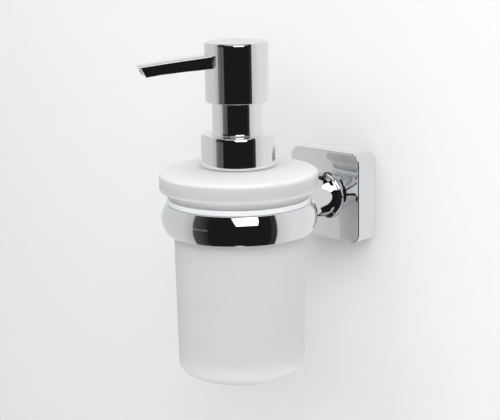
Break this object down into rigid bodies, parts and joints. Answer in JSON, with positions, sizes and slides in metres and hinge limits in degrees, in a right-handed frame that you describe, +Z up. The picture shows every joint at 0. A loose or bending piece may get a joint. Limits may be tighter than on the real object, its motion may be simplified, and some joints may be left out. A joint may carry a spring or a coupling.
{
  "type": "wall mounted soap dispenser",
  "caption": "Wall mounted soap dispenser: a flanged frosted bottle with a press pump and flat spout hangs in a chrome ring on a square wall rosette.",
  "frame": {"origin": "centre of the wall plate's back face, on the arm's axis", "axes": "+Y into the wall along the arm's axis, +Z up along the bottle, +X to the right when facing the wall"},
  "size_m": [0.0836, 0.131, 0.176],
  "materials": {
    "chrome": "polished chrome",
    "chrome_plating": "polished chrome plating on plastic",
    "zinc_plate": "zinc plated",
    "screw_steel": "stainless",
    "spring_steel": "drawn wire",
    "frosted_glass": "satin frosted",
    "liner_plastic": "satin white",
    "pump_plastic": "moulded white",
    "tube_plastic": "milky",
    "seal_rubber": "soft grey"
  },
  "bodies": {
    "holder": {"wall_plate": "zinc_plate", "rosette": "chrome", "rosette_grub_screw": "screw_steel", "arm_post": "chrome", "arm_screw": "screw_steel", "arm_washer": "zinc_plate", "ring_screw": "screw_steel", "holder_ring": "chrome", "ring_liner": "liner_plastic"},
    "bottle": {"bottle": "frosted_glass"},
    "seal": {"bottle_gasket": "seal_rubber"},
    "pump": {"pump_housing": "pump_plastic", "retainer": "pump_plastic", "dip_tube": "tube_plastic", "spring": "spring_steel"},
    "collar": {"closure_nut": "pump_plastic", "collar_cover": "chrome_plating", "neck_sleeve": "chrome_plating"},
    "plunger": {"stem": "pump_plastic", "piston": "seal_rubber"},
    "head": {"head_core": "pump_plastic", "head_shell": "chrome_plating", "spout": "chrome_plating"},
    "ball": {"check_ball": "screw_steel"}
  },
  "joints": [
    {"name": "bottle_lift", "type": "slide", "parent": "holder", "child": "bottle", "axis": [0, 0, 1], "range_m": [0, 0.11]},
    {"name": "pump_lift", "type": "slide", "parent": "bottle", "child": "seal", "axis": [0, 0, 1], "range_m": [0, 0.13]},
    {"name": "thread_rise", "type": "slide", "parent": "seal", "child": "pump", "axis": [0, 0, 1], "range_m": [0, 0.0065]},
    {"name": "collar_turn", "type": "hinge", "parent": "pump", "child": "collar", "pos_m": [0, -0.082, 0.035], "axis": [0, 0, 1], "range_deg": [0, 540]},
    {"name": "head_press", "type": "slide", "parent": "pump", "child": "plunger", "axis": [0, 0, -1], "range_m": [0, 0.013], "stiffness_N_per_m": 350, "springref_m": -0.008, "deforming": ["spring"]},
    {"name": "head_swivel", "type": "hinge", "parent": "plunger", "child": "head", "pos_m": [0, -0.082, 0.08], "axis": [0, 0, 1], "continuous": true},
    {"name": "ball_lift", "type": "slide", "parent": "pump", "child": "ball", "axis": [0, 0, 1], "range_m": [0, 0.0015]}
  ],
  "couplings": [
    {"joint": "thread_rise", "follows": "collar_turn", "m_per_rad": 0.00066845}
  ]
}
